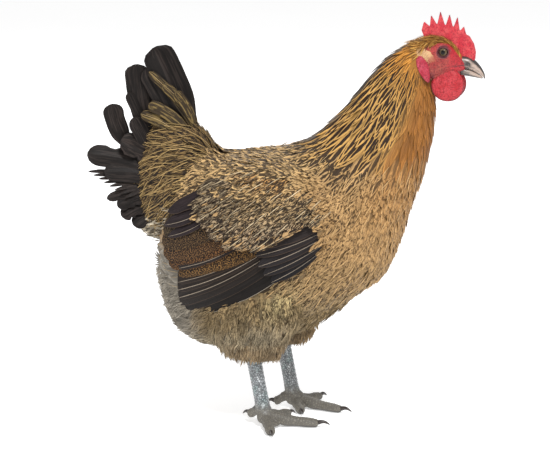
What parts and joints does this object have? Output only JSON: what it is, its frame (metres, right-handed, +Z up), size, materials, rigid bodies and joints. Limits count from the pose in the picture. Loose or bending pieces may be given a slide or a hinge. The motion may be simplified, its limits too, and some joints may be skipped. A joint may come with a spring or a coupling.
{
  "type": "green-legged partridge hen",
  "caption": "Standing domestic hen with partridge plumage, upright fanned tail, folded wings, single comb, wattles and bare slate-green scaled legs.",
  "frame": {"origin": "on the floor under the middle of the hen's bounding box", "axes": "+X the way the hen faces, +Y its left side, +Z up"},
  "size_m": [0.396, 0.1756, 0.414],
  "materials": {
    "body_plumage": "buff breast and belly feathers with small dark shaft marks",
    "hackle": "golden neck feathers with long dark centre stripes",
    "mottled_plumage": "dark brown feathers laced and peppered with buff",
    "fluff": "soft greyish buff down",
    "dark_feather": "near-black flight and tail feathers",
    "barred_feather": "chestnut feathers finely barred with dark brown",
    "red_skin": "bare red granular skin",
    "bill_horn": "greyish horn, paler at the edges",
    "eye": "wet brown-grey iris with a black pupil",
    "leg_scale": "slate scales with a green-blue sheen",
    "claw_horn": "dark horn"
  },
  "bodies": {
    "root": {"bill_lower": "bill_horn", "bill_upper": "bill_horn", "claw_back_left": "claw_horn", "claw_back_right": "claw_horn", "claw_inner_left": "claw_horn", "claw_inner_right": "claw_horn", "claw_middle_left": "claw_horn", "claw_middle_right": "claw_horn", "claw_outer_left": "claw_horn", "claw_outer_right": "claw_horn", "comb": "red_skin", "earlobe_left": "red_skin", "earlobe_right": "red_skin", "eye_left": "eye", "eye_right": "eye", "foot_left": "leg_scale", "foot_right": "leg_scale", "head": "red_skin", "neck": "hackle", "shank_left": "leg_scale", "shank_right": "leg_scale", "tail": "dark_feather", "tail_coverts": "mottled_plumage", "thigh_left": "fluff", "thigh_right": "fluff", "torso": "body_plumage", "wattle_left": "red_skin", "wattle_right": "red_skin", "wing_alula_left": "dark_feather", "wing_alula_right": "dark_feather", "wing_bow_left": "mottled_plumage", "wing_bow_right": "mottled_plumage", "wing_primaries_left": "dark_feather", "wing_primaries_right": "dark_feather", "wing_secondaries_left": "barred_feather", "wing_secondaries_right": "barred_feather"}
  },
  "joints": []
}
